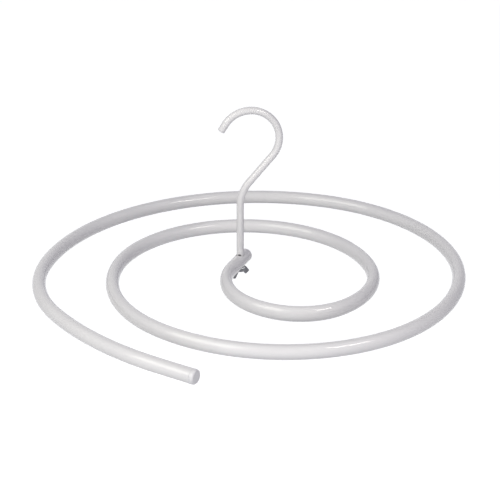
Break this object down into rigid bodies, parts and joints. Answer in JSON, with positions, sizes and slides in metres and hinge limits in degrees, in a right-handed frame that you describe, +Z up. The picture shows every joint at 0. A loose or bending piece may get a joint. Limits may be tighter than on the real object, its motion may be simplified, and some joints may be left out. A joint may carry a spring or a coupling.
{
  "type": "spiral drying rack",
  "caption": "Flat spiral of white coated tube that hangs from a bent rod hook with a wing nut, for drying a sheet wound between its turns.",
  "frame": {"origin": "saddle of the hook: the inside top of its crook, where it rests on a rail", "axes": "+Z up along the hook's rod, +X to the right and +Y away in the picture's view"},
  "size_m": [0.3948, 0.3974, 0.1654],
  "materials": {
    "white_coating": "glossy white coating on steel",
    "plug_plastic": "moulded white plastic",
    "dark_zinc": "dark zinc plate"
  },
  "bodies": {
    "hook": {"hook": "white_coating"},
    "nut_washer": {"washer": "dark_zinc"},
    "wing_nut": {"wing_nut": "dark_zinc"},
    "spiral": {"spiral_tube": "white_coating", "inner_end_plug": "plug_plastic", "outer_end_plug": "plug_plastic"}
  },
  "joints": [
    {"name": "nut_travel", "type": "slide", "parent": "hook", "child": "nut_washer", "axis": [0, 0, -1], "range_m": [0, 0.0024]},
    {"name": "nut_turn", "type": "hinge", "parent": "nut_washer", "child": "wing_nut", "pos_m": [-0.00887, -0.00109, -0.1503], "axis": [0, 0, -1], "range_deg": [0, 1080.1]},
    {"name": "spiral_swivel", "type": "hinge", "parent": "nut_washer", "child": "spiral", "pos_m": [-0.00887, -0.00109, -0.14254], "axis": [0, 0, 1], "continuous": true}
  ],
  "couplings": [
    {"joint": "nut_turn", "follows": "nut_travel", "rad_per_m": 7854}
  ]
}
